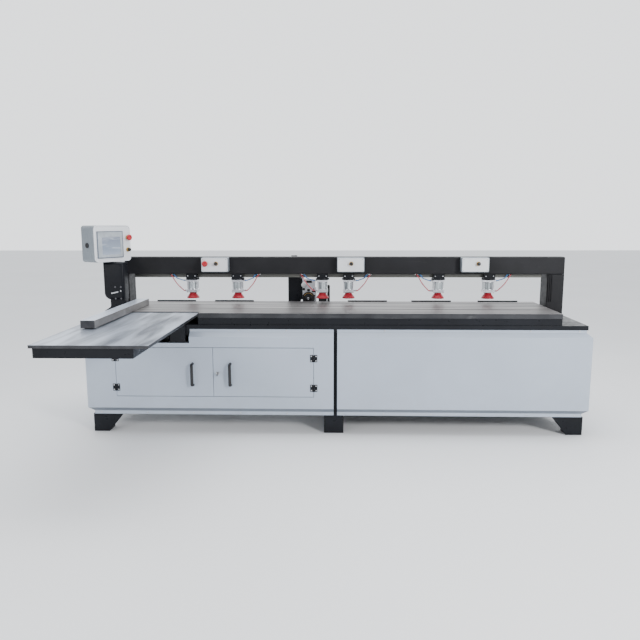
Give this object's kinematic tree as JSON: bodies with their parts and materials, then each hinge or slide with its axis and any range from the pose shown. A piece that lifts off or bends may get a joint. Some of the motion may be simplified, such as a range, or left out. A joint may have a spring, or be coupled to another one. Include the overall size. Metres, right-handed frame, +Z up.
{
  "type": "side hole drilling and dowelling machine",
  "caption": "Long panel dowelling machine: table on a cabinet base, pneumatic clamp gantry, travelling drill head, side table with fence, swivelling console.",
  "frame": {"origin": "centre of the machine's outline, on the floor", "axes": "+X along the table to the right as the operator sees it, +Y away from the operator to the back, +Z up"},
  "size_m": [3.7464, 2.146, 1.53],
  "materials": {
    "cover_paint": "pale blue-grey powder coat, satin",
    "black_paint": "black paint, satin",
    "beam_paint": "charcoal paint, satin",
    "table_steel": "ground, streaked",
    "bright_steel": "brushed",
    "zinc_steel": "zinc plated",
    "silver_cast": "cast and bead blasted",
    "aluminium": "anodised",
    "cup_rubber": "moulded, matte",
    "red_plastic": "gloss",
    "black_plastic": "moulded",
    "red_hose": "extruded",
    "blue_hose": "extruded",
    "chrome": "polished",
    "screen": "screen in a grey surround",
    "motor_black": "matte",
    "hardened_steel": "ground"
  },
  "bodies": {
    "machine": {"frame_posts": "black_paint", "frame_rails": "black_paint", "feet": "black_paint", "front_cover_left": "cover_paint", "front_cover_right": "cover_paint", "end_covers": "cover_paint", "rear_covers": "cover_paint", "cover_screws": "zinc_steel", "door_hinges": "black_paint", "hinge_pins": "zinc_steel", "cabinet_equipment": "zinc_steel", "bed_plate": "black_paint", "bed_bars": "black_paint", "worktable": "table_steel", "rear_stops": "black_paint", "gantry_columns": "beam_paint", "gantry_beam": "beam_paint", "cylinder_rail": "zinc_steel", "clamp_mounts": "black_paint", "clamp_cylinders": "aluminium", "air_fittings": "aluminium", "red_hoses": "red_hose", "blue_hoses": "blue_hose", "button_boxes": "silver_cast", "console_post": "black_paint", "side_plate": "bright_steel", "side_frame": "black_paint", "side_fence": "bright_steel", "linear_rails": "hardened_steel"},
    "left_door": {"left_door": "cover_paint", "left_door_leaves": "black_paint", "left_door_handle": "black_plastic"},
    "right_door": {"right_door": "cover_paint", "right_door_leaves": "black_paint", "right_door_handle": "black_plastic"},
    "lock": {"door_lock": "chrome"},
    "console": {"hmi_housing": "silver_cast", "hmi_front": "silver_cast", "hmi_screen": "screen"},
    "console_estop": {"hmi_estop": "red_plastic"},
    "console_button": {"hmi_button": "black_plastic"},
    "beam_estop": {"box_estop": "red_plastic"},
    "beam_button_1": {"box_button_1": "black_plastic"},
    "beam_button_2": {"box_button_2": "black_plastic"},
    "beam_button_3": {"box_button_3": "black_plastic"},
    "carriage": {"carriage_plate": "aluminium", "x_bearings": "hardened_steel", "z_column": "black_paint", "drive_motors": "motor_black", "cable_duct": "black_plastic"},
    "lift": {"z_slide": "black_paint"},
    "head": {"head_body": "aluminium", "feed_motor": "silver_cast"},
    "spindle": {"spindle_chuck": "hardened_steel"},
    "clamp_1": {"clamp_foot_1": "cup_rubber"},
    "clamp_2": {"clamp_foot_2": "cup_rubber"},
    "clamp_3": {"clamp_foot_3": "cup_rubber"},
    "clamp_4": {"clamp_foot_4": "cup_rubber"},
    "clamp_5": {"clamp_foot_5": "cup_rubber"},
    "clamp_6": {"clamp_foot_6": "cup_rubber"}
  },
  "joints": [
    {"name": "left_door_hinge", "type": "hinge", "parent": "machine", "child": "left_door", "pos_m": [-1.57427, 0.0675, 0.464], "axis": [0, 0, 1], "range_deg": [-110, 0]},
    {"name": "right_door_hinge", "type": "hinge", "parent": "machine", "child": "right_door", "pos_m": [-0.11927, 0.0675, 0.464], "axis": [0, 0, 1], "range_deg": [0, 110]},
    {"name": "lock_turn", "type": "hinge", "parent": "right_door", "child": "lock", "pos_m": [-0.82177, 0.073, 0.461], "axis": [0, 1, 0], "range_deg": [-90, 0]},
    {"name": "console_swivel", "type": "hinge", "parent": "machine", "child": "console", "pos_m": [-1.72877, 0.428, 1.25], "axis": [0, 0, 1], "range_deg": [-60, 40]},
    {"name": "console_estop_push", "type": "slide", "parent": "console", "child": "console_estop", "axis": [-0.866, 0.5, 0], "range_m": [0, 0.005], "stiffness_N_per_m": 600},
    {"name": "console_button_push", "type": "slide", "parent": "console", "child": "console_button", "axis": [-0.866, 0.5, 0], "range_m": [0, 0.005], "stiffness_N_per_m": 600},
    {"name": "beam_estop_push", "type": "slide", "parent": "machine", "child": "beam_estop", "axis": [0, 1, 0], "range_m": [0, 0.005], "stiffness_N_per_m": 600},
    {"name": "beam_button_1_push", "type": "slide", "parent": "machine", "child": "beam_button_1", "axis": [0, 1, 0], "range_m": [0, 0.005], "stiffness_N_per_m": 600},
    {"name": "beam_button_2_push", "type": "slide", "parent": "machine", "child": "beam_button_2", "axis": [0, 1, 0], "range_m": [0, 0.005], "stiffness_N_per_m": 600},
    {"name": "beam_button_3_push", "type": "slide", "parent": "machine", "child": "beam_button_3", "axis": [0, 1, 0], "range_m": [0, 0.005], "stiffness_N_per_m": 600},
    {"name": "head_travel", "type": "slide", "parent": "machine", "child": "carriage", "axis": [1, 0, 0], "range_m": [-1.288, 1.76]},
    {"name": "head_lift", "type": "slide", "parent": "carriage", "child": "lift", "axis": [0, 0, 1], "range_m": [-0.01, 0.06]},
    {"name": "head_feed", "type": "slide", "parent": "lift", "child": "head", "axis": [0, -1, 0], "range_m": [0, 0.05]},
    {"name": "spindle_turn", "type": "hinge", "parent": "head", "child": "spindle", "pos_m": [-0.19377, 0.863, 0.921], "axis": [0, -1, 0], "continuous": true},
    {"name": "clamp_1_stroke", "type": "slide", "parent": "machine", "child": "clamp_1", "axis": [0, 0, -1], "range_m": [0, 0.04]},
    {"name": "clamp_2_stroke", "type": "slide", "parent": "machine", "child": "clamp_2", "axis": [0, 0, -1], "range_m": [0, 0.04]},
    {"name": "clamp_3_stroke", "type": "slide", "parent": "machine", "child": "clamp_3", "axis": [0, 0, -1], "range_m": [0, 0.04]},
    {"name": "clamp_4_stroke", "type": "slide", "parent": "machine", "child": "clamp_4", "axis": [0, 0, -1], "range_m": [0, 0.04]},
    {"name": "clamp_5_stroke", "type": "slide", "parent": "machine", "child": "clamp_5", "axis": [0, 0, -1], "range_m": [0, 0.04]},
    {"name": "clamp_6_stroke", "type": "slide", "parent": "machine", "child": "clamp_6", "axis": [0, 0, -1], "range_m": [0, 0.04]}
  ]
}
